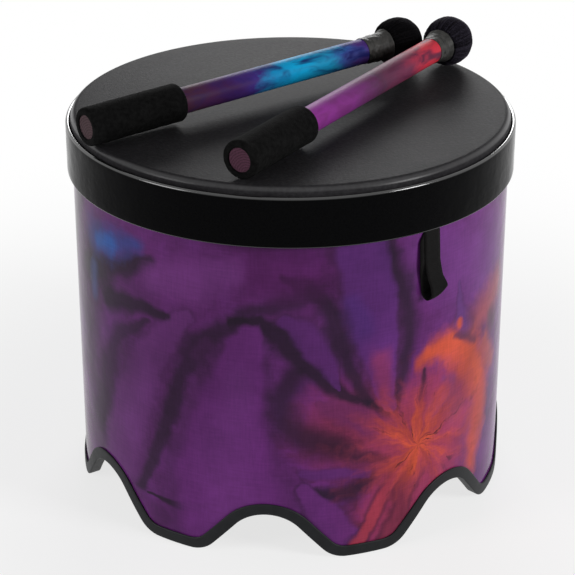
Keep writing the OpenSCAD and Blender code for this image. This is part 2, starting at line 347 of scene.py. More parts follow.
# Runs of dye, in the order in which they lie over each other. Each has its colour, how soft its edge is, how
# strong it is, the points it runs through on the unrolled cloth, each with the half width there, and how dark a
# fold it leaves beside it
RUNS = [
    ("#74307f", 0.9, 0.7, [(-90, 45, 50), (-60, 75, 50)]),
    ("#733884", 0.8, 0.8, [(48, 215, 26), (80, 200, 30), (110, 190, 30)]),
    ("#93355a", 0.9, 0.95, [(-15, 100, 34), (40, 84, 40)]),
    ("#97365a", 0.6, 0.95, [(28, 24, 44), (60, 90, 46)]),
    # Dark folds
    (CREASE, 0.8, 0.9, [(-150, 207, 5), (-185, 196, 9), (-220, 184, 16)]),
    (CREASE, 0.9, 0.5, [(-224, 190, 18), (-228, 120, 22), (-222, 50, 22)]),
    (CREASE, 0.7, 0.9, [(-138, 174, 3), (-165, 176, 6), (-196, 172, 12)]),
    (CREASE, 0.8, 0.72, [(-158, 166, 3), (-184, 148, 10), (-202, 112, 13), (-214, 70, 14)]),
    (CREASE, 0.75, 0.8, [(-84, 180, 4), (-100, 172, 8), (-116, 157, 13), (-128, 132, 8), (-140, 100, 8),
                         (-152, 70, 7), (-166, 36, 5)]),
    ("#4a2350", 0.8, 0.8, [(-108, 160, 5), (-118, 150, 5)]),
    (CREASE, 0.9, 0.75, [(-86, 185, 4), (-64, 193, 8), (-42, 202, 8)]),
    (CREASE, 0.8, 0.88, [(-58, 214, 3), (-38, 204, 8), (-26, 184, 10), (-17, 158, 9), (-8, 134, 6), (4, 114, 4)]),
    (CREASE, 0.7, 0.92, [(-92, 178, 3), (-72, 182, 4), (-56, 168, 9), (-42, 148, 7), (-16, 127, 5),
                         (14, 107, 4)]),
    (CREASE, 0.9, 0.85, [(4, 236, 8), (22, 206, 10), (29, 180, 9), (27, 150, 6), (21, 110, 4)]),
    (CREASE, 0.8, 0.9, [(-34, 50, 6), (-12, 48, 11), (6, 60, 7)]),
    (CREASE, 0.7, 0.9, [(-160, 32, 1.5), (-138, 31, 3.5), (-112, 37, 1.5)]),
    ("#4a1850", 0.9, 0.7, [(-92, 234, 8), (-20, 228, 10)]),
    ("#571a5a", 0.95, 0.55, [(-76, 214, 18), (-28, 212, 16)]),
    # Petals over them
    ("#6d3378", 0.35, 0.7, [(-126, 178, 6), (-140, 160, 11), (-152, 142, 13), (-168, 110, 17), (-180, 82, 19),
                            (-188, 50, 20)], 0.25),
    ("#773c84", 0.95, 0.5, [(-158, 126, 9), (-178, 74, 13)]),
    ("#7a3c86", 0.95, 0.7, [(-150, 196, 10), (-118, 204, 15), (-92, 212, 10)]),
    ("#712f7e", 0.25, 0.75, [(-78, 170, 9), (-82, 158, 15), (-87, 136, 20), (-96, 98, 28), (-98, 60, 36),
                             (-94, 28, 42)], 0.4),
    ("#7d3c8c", 0.95, 0.6, [(-86, 136, 12), (-96, 90, 20), (-94, 40, 28)]),
    ("#5d2a70", 0.45, 0.75, [(-58, 182, 4), (-48, 176, 8), (-36, 164, 10), (-28, 148, 7), (-22, 132, 1)], 0.35),
    ("#702d5e", 0.45, 0.8, [(-32, 122, 3), (-24, 117, 8), (-14, 110, 11), (4, 98, 10), (20, 92, 8)], 0.3),
    (CREASE, 0.9, 0.84, [(-48, 144, 8), (-58, 124, 12), (-54, 106, 14), (-34, 90, 14), (-4, 77, 7), (14, 70, 4)]),
    ("#602d78", 0.22, 0.8, [(-8, 232, 17), (2, 196, 18), (5, 165, 15), (11, 134, 9), (17, 112, 5)], 0.45),
    ("#502f7c", 0.9, 0.5, [(-12, 190, 8), (-4, 168, 9)]),
    ("#8a3563", 0.9, 0.8, [(8, 146, 8), (14, 118, 6)]),
    ("#6d2f7a", 0.3, 0.8, [(-46, 52, 5), (-40, 46, 7), (-30, 36, 9), (-12, 12, 10)], 0.45),
    ("#5f2b70", 0.5, 0.8, [(-46, 66, 4), (-20, 66, 5), (2, 64, 4)], 0.3),
    # Blue at the far left
    ("#38458c", 0.9, 0.85, [(-212, 209, 15), (-188, 212, 13), (-164, 216, 8)]),
    ("#2f62b4", 0.9, 0.9, [(-206, 207, 7), (-190, 210, 8)]),
    ("#4a5fa8", 0.9, 0.45, [(-216, 186, 6), (-218, 168, 6)]),
    # Red strands below the burst, and the orange ring to its right
    ("#a63a4e", 0.5, 0.9, [(24, 58, 6), (8, 32, 5), (-8, 8, 5)], 0.6),
    ("#8c3450", 0.6, 0.85, [(36, 52, 7), (26, 28, 6), (14, 6, 6)], 0.65),
    ("#b94a42", 0.9, 0.95, [(40, 138, 6), (58, 148, 11), (80, 138, 16), (98, 114, 18), (108, 92, 14),
                            (105, 64, 12), (98, 38, 9)]),
    ("#d0553a", 0.9, 0.85, [(48, 144, 6), (68, 144, 9), (84, 128, 12), (98, 104, 11)]),
    ("#b3504c", 0.9, 0.7, [(112, 128, 9), (126, 106, 10)]),
    ("#a44c54", 0.95, 0.75, [(88, 146, 9), (102, 154, 15), (118, 158, 17), (134, 162, 15)]),
    ("#573650", 0.95, 0.7, [(122, 146, 7), (128, 138, 8)]),
    ("#8e4060", 0.9, 0.8, [(54, 98, 8), (66, 106, 10), (74, 92, 10)]),
    ("#6a3878", 0.9, 0.6, [(64, 120, 4), (72, 116, 5)]),
    ("#683880", 0.9, 0.75, [(76, 184, 1.5), (78, 168, 3), (80, 155, 8), (81, 151, 8)], 0.3),
    ("#c9523a", 0.9, 0.9, [(77, 152, 3), (78, 156, 3)]),
    ("#47284e", 0.95, 0.65, [(72, 146, 2), (83, 142, 5), (93, 136, 4)]),
    (CREASE, 0.9, 0.8, [(45, 132, 2), (41, 118, 4), (38, 98, 4), (44, 86, 4)]),
    # The right side, past the burst
    (CREASE, 0.95, 0.75, [(166, 190, 4), (188, 208, 12), (214, 240, 14)]),
    (CREASE, 0.95, 0.75, [(164, 82, 4), (212, 92, 14), (258, 128, 15), (292, 182, 9)]),
    (CREASE, 0.95, 0.7, [(164, 18, 4), (196, 15, 12)]),
    (CREASE, 0.95, 0.7, [(288, 20, 8), (326, 78, 14), (366, 118, 11)]),
    ("#712f7e", 0.35, 0.7, [(166, 134, 6), (192, 144, 16), (232, 174, 21), (258, 222, 19)], 0.3),
    ("#6d3378", 0.35, 0.7, [(164, 48, 6), (208, 50, 16), (262, 74, 22)], 0.3),
    ("#632c78", 0.35, 0.7, [(306, 206, 13), (346, 164, 19), (392, 124, 15)], 0.3),
    # The back: a second burst in blue, with its own folds and petals
    ("#2f4f94", 0.95, 0.85, [(-428, 104, 44), (-362, 130, 48)]),
    ("#2583b0", 0.95, 0.6, [(-404, 112, 20), (-382, 122, 22)]),
    (CREASE, 0.95, 0.75, [(-366, 134, 3), (-338, 152, 8), (-304, 160, 13), (-266, 188, 15), (-246, 228, 12)]),
    (CREASE, 0.95, 0.75, [(-398, 144, 3), (-412, 168, 8), (-420, 198, 14), (-452, 232, 16)]),
    (CREASE, 0.95, 0.75, [(-370, 102, 3), (-336, 84, 9), (-298, 64, 15), (-262, 28, 15)]),
    (CREASE, 0.95, 0.7, [(-410, 96, 3), (-430, 74, 9), (-440, 44, 15), (-462, 14, 15)]),
    (CREASE, 0.95, 0.65, [(-420, 120, 2), (-452, 118, 8), (-494, 98, 13), (-532, 94, 13)]),
    ("#5a3484", 0.35, 0.7, [(-388, 152, 4), (-382, 188, 14), (-368, 232, 23)], 0.3),
    ("#6a2f7e", 0.35, 0.7, [(-354, 118, 4), (-316, 118, 14), (-266, 126, 25)], 0.3),
    ("#632c78", 0.35, 0.7, [(-390, 88, 4), (-384, 54, 15), (-374, 8, 25)], 0.3),
    ("#712f7e", 0.35, 0.7, [(-430, 106, 3), (-472, 66, 15), (-512, 28, 21)], 0.3),
    ("#6d3378", 0.35, 0.7, [(-424, 134, 3), (-462, 164, 13), (-512, 190, 21)], 0.3),
]


def unrolled(add, place):
    """The cloth laid flat, in millimetres: along the drum from the front, and up. The seam is at the back."""
    from_seam = add("VectorRotate", {"Vector": place, "Axis": (0, 0, 1), "Angle": math.pi - SEAM_ANGLE})
    axes = add("SeparateXYZ", {"Vector": from_seam}).node.outputs
    front = add("Math MULTIPLY", {0: axes["Y"], 1: -1.0})
    angle = add("Math ARCTAN2", {0: axes["X"], 1: front})
    angle = add("Math ADD", {0: angle, 1: SEAM_ANGLE - math.pi})
    along = add("Math MULTIPLY", {0: angle, 1: WRAP_R})
    up = add("Math MULTIPLY", {0: axes["Z"], 1: 1 / MM})
    return add("CombineXYZ", {"X": along, "Y": up})


def frayed(add, cloth, size, reach, detail):
    """Cloth coordinates pushed about by noise, so that dye laid on them gets a wandering edge."""
    wander = add("TexNoise",
                 {"Vector": cloth, "Scale": 1 / size, "Detail": detail, "Roughness": 0.55}, out="Color")
    push = add("VectorMath SUBTRACT", {0: wander, 1: (0.5, 0.5, 0.5)})
    push = add("VectorMath MULTIPLY", {0: push, 1: (2 * reach, 2 * reach, 0)})
    return add("VectorMath ADD", {0: cloth, 1: push})


def distance(add, cloth, points):
    """How far a place is from a line through points, as a share of the line's half width there."""
    nearest = None
    for (x, y, width), (next_x, next_y, next_width) in zip(points, points[1:]):
        length = math.dist((x, y), (next_x, next_y))
        way = ((next_x - x) / length, (next_y - y) / length, 0)
        local = add("VectorMath SUBTRACT", {0: cloth, 1: (x, y, 0)})
        share = add("VectorMath DOT_PRODUCT", {0: local, 1: way}, out="Value")
        share = add("Clamp", {"Value": share, "Max": length})
        foot = add("VectorMath SCALE", {0: way, "Scale": share})
        away = add("VectorMath DISTANCE", {0: local, 1: foot}, out="Value")
        half = add("Math MULTIPLY_ADD", {0: share, 1: (next_width - width) / length, 2: width})
        away = add("Math DIVIDE", {0: away, 1: half})
        if nearest is not None:
            away = add("Math MINIMUM", {0: nearest, 1: away})
        nearest = away
    return nearest


def run(add, cloth, bleed, under, colour, soft, strength, points, fold=0):
    """Lays a run of dye over the colour under it, with a dark fold that bleeds out beside it."""
    away = distance(add, cloth, points)
    if fold:
        spread = add("Math MULTIPLY", {0: away, 1: bleed})
        cover = add("MapRange", {"Value": spread, "From Min": 1.75, "From Max": 0.95, "To Max": fold}, **SMOOTH)
        under = add("Mix", {MIX_FACTOR: cover, MIX_A: under, MIX_B: srgb(CREASE)}, **COLOUR_MIX)
    if soft > 0.3:
        away = add("Math MULTIPLY", {0: away, 1: bleed})
    cover = add("MapRange",
                {"Value": away, "From Min": 1 + soft * 0.6, "From Max": 1 - soft, "To Max": strength}, **SMOOTH)
    return add("Mix", {MIX_FACTOR: cover, MIX_A: under, MIX_B: srgb(colour)}, **COLOUR_MIX)


def spokes(add, cloth, middle, count, length):
    """Streaks that run out from a point: noise that changes fast round it and slowly along its rays."""
    out = add("VectorMath SUBTRACT", {0: cloth, 1: (*middle, 0)})
    ray = add("VectorMath NORMALIZE", {0: out})
    ray = add("VectorMath MULTIPLY", {0: ray, 1: (count / 6, count / 6, 0)})
    far = add("VectorMath LENGTH", {0: out}, out="Value")
    depth = add("Math DIVIDE", {0: far, 1: length})
    lift = add("CombineXYZ", {"Z": depth})
    ray = add("VectorMath ADD", {0: ray, 1: lift})
    streak = add("TexNoise", {"Vector": ray, "Scale": 1.0, "Detail": 4.0, "Roughness": 0.6})
    return streak, far


def burst(add, cloth, under, middle, glow):
    """Lays spokes of dye round a point: bright by the middle, deeper further out, and dark between them."""
    streak, far = spokes(add, cloth, middle, 15, 36)
    swing = add("Math MULTIPLY_ADD", {0: streak, 1: BURST_SWING, 2: -BURST_SWING / 2})
    reach = add("Math ADD", {0: far, 1: swing})
    share = add("Math DIVIDE", {0: reach, 1: BURST_R})
    colour = add("ValToRGB", {"Fac": share}, stops=glow)
    cover = add("MapRange", {"Value": reach, "From Min": 62.0, "From Max": 14.0, "To Max": 0.9}, **SMOOTH)
    under = add("Mix", {MIX_FACTOR: cover, MIX_A: under, MIX_B: colour}, **COLOUR_MIX)
    split, far = spokes(add, cloth, middle, 30, 26)
    gap = add("MapRange", {"Value": split, "From Min": 0.42, "From Max": 0.3}, **SMOOTH)
    near = add("MapRange", {"Value": far, "From Min": 80.0, "From Max": 25.0, "To Max": 0.85})
    dark = add("Math MULTIPLY", {0: gap, 1: near})
    return add("Mix", {MIX_FACTOR: dark, MIX_A: under, MIX_B: srgb("#3d1c30")}, **COLOUR_MIX)


def tie_dyed_cotton():
    material, add, place = new_material("tie_dyed_cotton_under_lacquer")
    cloth = unrolled(add, place)
    wavy = frayed(add, cloth, 42, 9, 2.0)
    feathered = frayed(add, wavy, 9, 1.9, 4.0)

    # Uneven purple ground, with the runs of dye over it
    cloud = add("TexNoise", {"Vector": feathered, "Scale": 1 / 45, "Detail": 5.0, "Roughness": 0.6})
    colour = add("ValToRGB", {"Fac": cloud}, stops=[(0.3, "#54245c"), (0.48, "#632a6c"), (0.66, "#70327e")])
    bleed = add("TexNoise", {"Vector": wavy, "Scale": 1 / 11, "Detail": 5.0, "Roughness": 0.65})
    bleed = add("MapRange", {"Value": bleed, "To Min": 0.5, "To Max": 1.5})
    for row in RUNS:
        colour = run(add, feathered, bleed, colour, *row)

    torn = frayed(add, feathered, 15, 5, 3.0)
    for middle, glow in BURSTS:
        colour = burst(add, torn, colour, middle, glow)

    # Folds that all run towards the first burst leave long streaks over the whole cloth
    pleat, _ = spokes(add, feathered, BURSTS[0][0], 11, BURST_R)
    shade = add("MapRange", {"Value": pleat, "From Min": 0.3, "From Max": 0.7, "To Min": 0.72, "To Max": 1.2})
    colour = add("VectorMath SCALE", {0: colour, "Scale": shade})

    # Threads, drawn three times as coarse as they are so that they show
    weft, warp = (add("TexNoise", {"Vector": add("Mapping", {"Vector": cloth, "Scale": scale}), "Scale": 1.0})
                  for scale in ((1 / THREAD_RUN, 1 / THREAD, 1), (1 / THREAD, 1 / THREAD_RUN, 1)))
    thread = add("Math ADD", {0: weft, 1: warp})
    shade = add("MapRange", {"Value": thread, "From Min": 0.7, "From Max": 1.3, "To Min": 0.9, "To Max": 1.09})
    colour = add("VectorMath SCALE", {0: colour, "Scale": shade})

    weave = add("Bump", {"Height": thread, "Strength": 0.25, "Distance": 0.15 * MM})
    ripple = add("TexNoise", {"Vector": cloth, "Scale": 1 / 24})
    lacquer = add("Bump", {"Height": ripple, "Strength": 0.5, "Distance": 0.8 * MM})
    return finished(material, Base_Color=colour, Roughness=0.6, Specular_IOR_Level=0.0, Normal=weave,
                    Coat_Weight=0.85, Coat_Roughness=0.1, Coat_IOR=1.2, Coat_Normal=lacquer)


# Film over bent ply: deep black, with reflections that its uneven surface leaves ragged
def black_gloss_film():
    material, add, place = new_material("black_gloss_film")
    wave = add("TexNoise", {"Vector": place, "Scale": per(22), "Detail": 3.0, "Roughness": 0.6})
    dust = add("TexNoise", {"Vector": place, "Scale": per(1.2)})
    uneven = add("Bump", {"Height": wave, "Strength": 0.6, "Distance": 0.9 * MM})
    grain = add("Bump", {"Height": dust, "Normal": uneven, "Strength": 0.12, "Distance": 0.05 * MM})
    haze = add("MapRange", {"Value": wave, "From Min": 0.3, "From Max": 0.7, "To Min": 0.06, "To Max": 0.18})
    height = add("SeparateXYZ", {"Vector": place}, out="Z")
    tight = add("MapRange", {"Value": height, "From Min": (RIM_Z - 1.6) * MM, "From Max": (RIM_Z - 0.9) * MM})
    tight_lip = add("MapRange", {"Value": height, "From Min": (LIP_Z + 0.9) * MM, "From Max": (LIP_Z + 0.5) * MM})
    tight = add("Math MAXIMUM", {0: tight, 1: tight_lip})
    colour = add("ValToRGB", {"Fac": dust}, stops=[(0.3, "#020203"), (0.7, "#060607")])
    return finished(material, Base_Color=colour, Roughness=haze, IOR=1.1, Normal=grain,
                    Coat_Weight=tight, Coat_Roughness=0.15, Coat_IOR=1.7)


# Extruded rubber: dark blue-grey, satin, with faint drag marks and dust
def satin_rubber():
    material, add, place = new_material("satin_rubber")
    mottle = add("TexNoise", {"Vector": place, "Scale": per(7), "Detail": 4.0})
    pores = add("TexNoise", {"Vector": place, "Scale": per(0.9)})
    colour = add("ValToRGB", {"Fac": mottle}, stops=[(0.3, "#0c0e10"), (0.7, "#17191b")])
    rough = add("MapRange", {"Value": mottle, "To Min": 0.38, "To Max": 0.6})
    bump = add("Bump", {"Height": pores, "Strength": 0.2, "Distance": 0.08 * MM})
    return finished(material, Base_Color=colour, Roughness=rough, Specular_IOR_Level=0.2, Normal=bump)


# Synthetic drum skin: dark grey fibre paper with a fine pebbled grain and a soft sheen, smoother where it is
# stretched over the shoulder
def pebbled_skin():
    material, add, place = new_material("pebbled_fibre_skin")
    pebble = add("TexVoronoi", {"Vector": place, "Scale": per(1.5)}, out="Distance")
    fibre = add("TexNoise", {"Vector": place, "Scale": per(2.6), "Detail": 4.0})
    cloud = add("TexNoise", {"Vector": place, "Scale": per(60), "Detail": 3.0})
    tone = add("Math ADD", {0: fibre, 1: cloud})
    tone = add("Math MULTIPLY", {0: tone, 1: 0.5})
    colour = add("ValToRGB", {"Fac": tone}, stops=[(0.36, "#232224"), (0.5, "#2b2a2c"), (0.64, "#353436")])
    height = add("Math ADD", {0: pebble, 1: fibre})
    bump = add("Bump", {"Height": height, "Strength": 0.5, "Distance": 0.12 * MM})
    up = add("SeparateXYZ", {"Vector": place}, out="Z")
    below = add("MapRange", {"Value": up, "From Min": (SKIN_TOP - 0.3) * MM, "From Max": (SKIN_TOP - 1.1) * MM})
    above = add("MapRange", {"Value": up, "From Min": (SKIN_TOP - 3.4) * MM, "From Max": (SKIN_TOP - 2.2) * MM})
    tight = add("Math MULTIPLY", {0: below, 1: above})
    return finished(material, Base_Color=colour, Roughness=0.5, Specular_IOR_Level=0.02, Normal=bump,
                    Coat_Weight=tight, Coat_Roughness=0.3, Coat_IOR=1.4)


# Grosgrain ribbon: black, with close cross ribs and a dull sheen
def grosgrain():
    material, add, place = new_material("black_grosgrain")
    ribs = add("TexWave", {"Vector": place, "Scale": per(1.1) * WAVE_UNIT, "Distortion": 0.4},
               bands_direction="Z")
    lint = add("TexNoise", {"Vector": place, "Scale": per(2.2), "Detail": 4.0})
    colour = add("ValToRGB", {"Fac": lint}, stops=[(0.3, "#060505"), (0.75, "#0f0e0e")])
    height = add("Math ADD", {0: ribs, 1: lint})
    bump = add("Bump", {"Height": height, "Strength": 0.5, "Distance": 0.15 * MM})
    return finished(material, Base_Color=colour, Roughness=0.7, Specular_IOR_Level=0.08, Normal=bump,
                    Sheen_Weight=0.04, Sheen_Roughness=0.4)


# Closed-cell foam: matte black, with fine cells that catch the light as speckle
def black_foam():
    material, add, place = new_material("closed_cell_foam")
    cells = add("TexVoronoi", {"Vector": place, "Scale": per(0.9)}, out="Distance")
    lumps = add("TexNoise", {"Vector": place, "Scale": per(3), "Detail": 4.0})
    colour = add("ValToRGB", {"Fac": lumps}, stops=[(0.3, "#0c0c0c"), (0.75, "#1b1b1b")])
    height = add("Math ADD", {0: cells, 1: lumps})
    bump = add("Bump", {"Height": height, "Strength": 0.7, "Distance": 0.25 * MM})
    return finished(material, Base_Color=colour, Roughness=0.9, Specular_IOR_Level=0.03, Normal=bump)


def from_butt(add, place, butt):
    """Places counted from a mallet's butt, with Z along its axis."""
    return add("Mapping", {"Vector": place, "Location": butt.translation, "Rotation": butt.to_euler()},
               vector_type="TEXTURE")


# Brushed jersey over padding: deep black and soft, with a little nap at grazing angles. Gathers run out from the
# tape as fine streaks, painted into the colour as lighter and darker lines: painted light and shade of the folds
def black_jersey(name, butt, dark, light, sheen):
    material, add, place = new_material(name)
    local = from_butt(add, place, butt)
    nap = add("TexNoise", {"Vector": place, "Scale": per(1.1), "Detail": 4.0})
    round_axis = add("VectorMath MULTIPLY", {0: local, 1: (1, 1, 0)})
    gather, _ = spokes(add, round_axis, (0, 0), 70, 25 * MM)
    along = add("SeparateXYZ", {"Vector": local}, out="Z")
    fade = add("MapRange",
               {"Value": along, "From Min": (MALLET_L + 16) * MM, "From Max": (MALLET_L - 4) * MM, "To Max": 1.6})
    gather = add("Math SUBTRACT", {0: gather, 1: 0.5})
    # The gather streaks go into the colour as painted light and shade of the folds, and into the bump as well
    tone = add("Math MULTIPLY_ADD", {0: gather, 1: fade, 2: nap})
    colour = add("ValToRGB", {"Fac": tone}, stops=[(0.3, dark), (0.75, light)])
    bump = add("Bump", {"Height": tone, "Strength": 0.8, "Distance": 0.3 * MM})
    return finished(material, Base_Color=colour, Roughness=0.85, Specular_IOR_Level=0.02, Normal=bump,
                    Sheen_Weight=sheen, Sheen_Roughness=0.35, Sheen_Tint=srgb("#a79ab4"))


# Vinyl tape: dark grey, with a dull shine and small stretch wrinkles
def vinyl_tape():
    return grained("vinyl_tape", {"Scale": per(3.5), "Detail": 3.0}, 1,
                   [(0.3, "#262625"), (0.75, "#434240")], (0.6, 0.3), Roughness=0.5, Specular_IOR_Level=0.18)


# Plain fibreboard tube: layered brown card with short pale fibres
def fibreboard():
    return grained("fibreboard", {"Scale": per(7), "Detail": 5.0, "Roughness": 0.65}, 6,
                   [(0.3, "#8a6a45"), (0.5, "#a98456"), (0.72, "#c3a176")], (0.3, 0.2), Roughness=0.85)


# Bent ply: pale wood with fine grain along the hoop
def bent_ply():
    return grained("bent_ply", {"Scale": per(14), "Detail": 6.0, "Roughness": 0.6}, 12,
                   [(0.3, "#a97f4c"), (0.5, "#c9a26b"), (0.7, "#dcbc8b")], (0.2, 0.1), Roughness=0.6)


# Pressed felt: slate grey with matted fibres
def pressed_felt():
    return grained("pressed_felt", {"Scale": per(1.6), "Detail": 6.0, "Roughness": 0.7, "Distortion": 1.5}, 1,
                   [(0.3, "#2b2e34"), (0.7, "#4a4e57")], (0.8, 0.3), Roughness=0.95, Sheen_Weight=0.3)


# Cellular foam strip: grey and matte, with open pores
def gasket_foam():
    return grained("cellular_foam_strip", {"Scale": per(1.2)}, 1,
                   [(0.1, "#3a3a3a"), (0.7, "#565656")], (0.6, 0.2), "TexVoronoi", Roughness=0.95)


# Solid rubber core: brick brown and dull
def core_rubber():
    material, add, place = new_material("solid_rubber")
    mottle = add("TexNoise", {"Vector": place, "Scale": per(4), "Detail": 4.0})
    colour = add("ValToRGB", {"Fac": mottle}, stops=[(0.3, "#68402c"), (0.7, "#85553b")])
    return finished(material, Base_Color=colour, Roughness=0.8)


# Dyed dowel: the pale wood's end shows rings and pores under a mauve stain
def stained_dowel(name, butt, light, dark):
    material, add, place = new_material(name)
    local = from_butt(add, place, butt)
    off_middle = add("Mapping", {"Vector": local, "Location": (6 * MM, 9 * MM, 0)})
    rings = add("TexWave",
                {"Vector": off_middle, "Scale": per(1.7) * WAVE_UNIT, "Distortion": 2.5, "Detail": 3.0},
                wave_type="RINGS", rings_direction="Z")
    pores = add("TexNoise",
                {"Vector": add("Mapping", {"Vector": local, "Scale": (1, 1, 0.05)}),
                 "Scale": per(1.3), "Detail": 4.0, "Roughness": 0.75})
    tone = add("Math MULTIPLY_ADD", {0: rings, 1: 0.25, 2: pores})
    tone = add("Math MULTIPLY", {0: tone, 1: 0.8})
    colour = add("ValToRGB", {"Fac": tone}, stops=[(0.25, dark), (0.7, light)])
    bump = add("Bump", {"Height": tone, "Strength": 0.3, "Distance": 0.15 * MM})
    return finished(material, Base_Color=colour, Roughness=0.7, Specular_IOR_Level=0.06, Normal=bump)


# Tie-dye printed shrink film on a shaft: colours that run along the shaft, with dark wandering creases
def printed_film(name, butt, run, crease, crease_from):
    material, add, place = new_material(name)
    local = from_butt(add, place, butt)
    stretched = add("Mapping", {"Vector": local, "Scale": (1, 1, 0.45)})
    cloud = add("TexNoise", {"Vector": stretched, "Scale": per(13), "Detail": 4.0, "Roughness": 0.6})
    along = add("SeparateXYZ", {"Vector": local}, out="Z")
    share = add("Math DIVIDE", {0: along, 1: MALLET_L * MM})
    push = add("Math MULTIPLY_ADD", {0: cloud, 1: 0.22, 2: -0.11})
    share = add("Math ADD", {0: share, 1: push})
    colour = add("ValToRGB", {"Fac": share}, stops=run)
    vein = add("TexNoise",
               {"Vector": stretched, "Scale": per(13), "Detail": 3.0, "Roughness": 0.55, "Distortion": 0.8})
    run_dark = add("MapRange", {"Value": vein, "From Min": 0.56, "From Max": 0.32, "To Max": 0.95}, **SMOOTH)
    past = add("MapRange",
               {"Value": share, "From Min": crease_from, "From Max": crease_from + 0.1, "To Min": 0.35})
    run_dark = add("Math MULTIPLY", {0: run_dark, 1: past})
    colour = add("Mix", {MIX_FACTOR: run_dark, MIX_A: colour, MIX_B: srgb(crease)}, **COLOUR_MIX)
    ripple = add("Bump", {"Height": cloud, "Strength": 0.3, "Distance": 0.4 * MM})
    return finished(material, Base_Color=colour, Roughness=0.45, Specular_IOR_Level=0.05, Normal=ripple)


# Camera: the photograph's viewpoint, found from the drum's round edges

VIEW_TURN = math.radians(-19.67)
VIEW_DROP = math.radians(25.218)
CAMERA_PLACE = (-2.128, -1319.709, 755.416)
LENS = 125.762
SENSOR = 36.0


def make_camera():
    data = bpy.data.cameras.new("camera")
    data.lens = LENS
    data.sensor_width = SENSOR
    camera = bpy.data.objects.new("camera", data)
    bpy.context.scene.collection.objects.link(camera)
    turn = Matrix.Rotation(VIEW_TURN, 4, "Z")
    tilt = Matrix.Rotation(math.pi / 2 - VIEW_DROP, 4, "X")
    camera.matrix_world = turn @ Matrix.Translation(Vector(CAMERA_PLACE) * MM) @ tilt
    bpy.context.scene.camera = camera


make_camera()


# Shell: the wrap and the trim are turned as straight rings and then follow the scalloped edge

FOOT_HALF = math.pi / FOOT_COUNT
ARCH_MIDDLE = Vector((0, ARCH_H - ARCH_R))
FOOT_MIDDLE = Vector((TRIM_R * math.sin(FOOT_HALF) - FOOT_FLAT / 2, FOOT_R))
FLANK = FOOT_MIDDLE - ARCH_MIDDLE
FLANK_TURN = math.atan2(FLANK.y, FLANK.x) + math.acos((ARCH_R + FOOT_R) / FLANK.length)
FLANK_L = math.sqrt(FLANK.length ** 2 - (ARCH_R + FOOT_R) ** 2)
ARCH_L = ARCH_R * (math.pi / 2 - FLANK_TURN)
CORNER_L = FOOT_R * (math.pi / 2 - FLANK_TURN)
EDGE_L = ARCH_L + FLANK_L + CORNER_L + FOOT_FLAT / 2


def edge_place(share, up, radius):
    """Angle and height on the scalloped edge: share is 0 in the middle of an arch and 1 in the middle of a
    foot, and up is the distance from the sole."""
    length = abs(share) * EDGE_L
    out = Vector((math.cos(FLANK_TURN), math.sin(FLANK_TURN)))
    if length < ARCH_L:
        a = math.pi / 2 - length / ARCH_R
        place = ARCH_MIDDLE + (ARCH_R + up) * Vector((math.cos(a), math.sin(a)))
    elif length < ARCH_L + FLANK_L:
        top = ARCH_MIDDLE + (ARCH_R + up) * out
        bottom = FOOT_MIDDLE - (FOOT_R - up) * out
        place = top.lerp(bottom, (length - ARCH_L) / FLANK_L)
    elif length < ARCH_L + FLANK_L + CORNER_L:
        a = math.pi + FLANK_TURN + (length - ARCH_L - FLANK_L) / FOOT_R
        place = FOOT_MIDDLE + (FOOT_R - up) * Vector((math.cos(a), math.sin(a)))
    else:
        rest = (length - ARCH_L - FLANK_L - CORNER_L) / (FOOT_FLAT / 2)
        place = Vector((mix(FOOT_MIDDLE.x, radius * math.sin(FOOT_HALF), rest), up))
    return math.copysign(math.asin(place.x / radius), share), place.y


def follow_scallops(point):
    """Moves a point of a straight ring: up to the trim's height it keeps its distance from the scalloped
    edge, and above that the edge fades into a level line."""
    radius = math.hypot(point.x, point.y)
    angle = math.atan2(point.x, -point.y)
    arch = math.floor(angle / (2 * FOOT_HALF)) + 0.5
    share = angle / FOOT_HALF - 2 * arch
    turn, height = edge_place(share, min(point.z, TRIM_H), radius)
    fade = max(0, point.z - TRIM_H) / (EDGE_LEVEL - TRIM_H)
    if fade < 1:
        angle = 2 * arch * FOOT_HALF + mix(turn, share * FOOT_HALF, fade)
        point = Vector((0, 0, mix(height, EDGE_LEVEL, fade)))
    return Vector((radius * math.sin(angle), -radius * math.cos(angle), point.z))


def make_wrap():
    low = TRIM_WEB + GLUE
    inside = WRAP_R - WRAP_T
    rows = [low, TRIM_H] + [mix(TRIM_H, EDGE_LEVEL, i / 8) for i in range(1, 9)]
    rows += [mix(EDGE_LEVEL, WRAP_TOP - WRAP_EDGE, i / 10) for i in range(1, 11)]
    outline = [(WRAP_R, z) for z in rows] + [(WRAP_R - WRAP_EDGE, WRAP_TOP), (inside, WRAP_TOP)]
    outline += [(inside, z) for z in (EDGE_LEVEL, TRIM_H, low)]
    piece = turned("cloth_wrap", outline, RING_SIDES)
    reshape(piece, follow_scallops)
    fit(piece, tie_dyed_cotton(), "shell", "tie_dye_wrap", "shell_wrap")


def make_trim():
    slot_r = TRIM_R - TRIM_LEG
    inner = WRAP_R - WRAP_T - GLUE - TUBE_WALL - GLUE - TRIM_LEG
    tip = TRIM_LEG / 2
    corner = TRIM_CORNER
    outline = arc((slot_r + tip, TRIM_H - tip), tip, 180, 0, 6)
    outline += between((TRIM_R, TRIM_H - tip), (TRIM_R, corner), 4)[1:]
    outline += arc((TRIM_R - corner, corner), corner, 0, -90, 5)
    outline += arc((inner + corner, corner), corner, 270, 180, 5)
    outline += arc((inner + tip, TRIM_H - tip), tip, 180, 0, 6)
    outline += [(inner + TRIM_LEG, TRIM_WEB), (slot_r, TRIM_WEB)]
    piece = turned("edge_trim", outline, RING_SIDES)
    reshape(piece, follow_scallops)
    fit(piece, satin_rubber(), "shell", "trim_rubber", "foot_trim")


# Head cap

